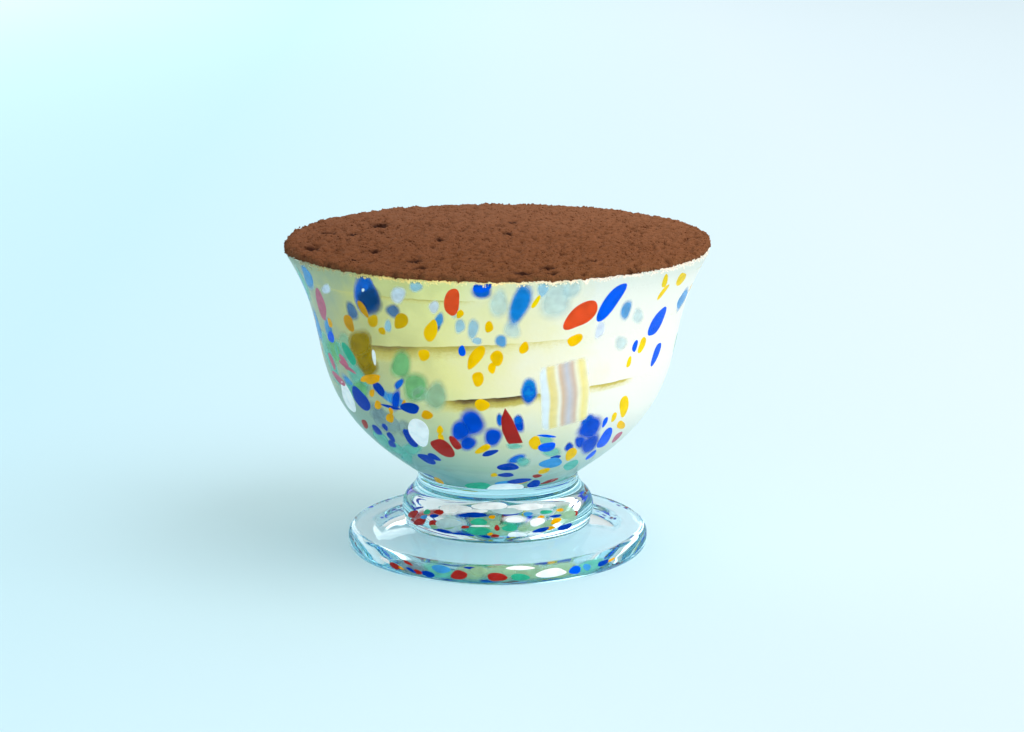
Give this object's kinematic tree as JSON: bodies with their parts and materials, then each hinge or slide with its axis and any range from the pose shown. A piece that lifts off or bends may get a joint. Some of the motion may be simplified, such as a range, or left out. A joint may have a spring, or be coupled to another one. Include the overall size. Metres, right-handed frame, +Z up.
{
  "type": "tiramisu in a footed glass cup",
  "caption": "Layered coffee and cream dessert dusted with cocoa, served in a flared cup of thick colour-flecked glass on a solid round foot.",
  "frame": {"origin": "centre of the foot's flat underside", "axes": "+Z up along the cup's axis of revolution; -Y towards the viewer of the front"},
  "size_m": [0.1055, 0.105, 0.0787],
  "materials": {
    "glass": "clear polished hand-made glass with colour flecks",
    "cream": "soft pale yellow mascarpone cream",
    "sponge": "coffee-soaked sponge, brown above and yellow below",
    "cocoa": "dry matt cocoa powder"
  },
  "bodies": {
    "root": {"glass_cup": "glass", "cream_base": "cream", "cream_lower": "cream", "cream_upper": "cream", "cream_top": "cream", "sponge_lower": "sponge", "sponge_middle": "sponge", "sponge_upper": "sponge", "cocoa": "cocoa"}
  },
  "joints": []
}
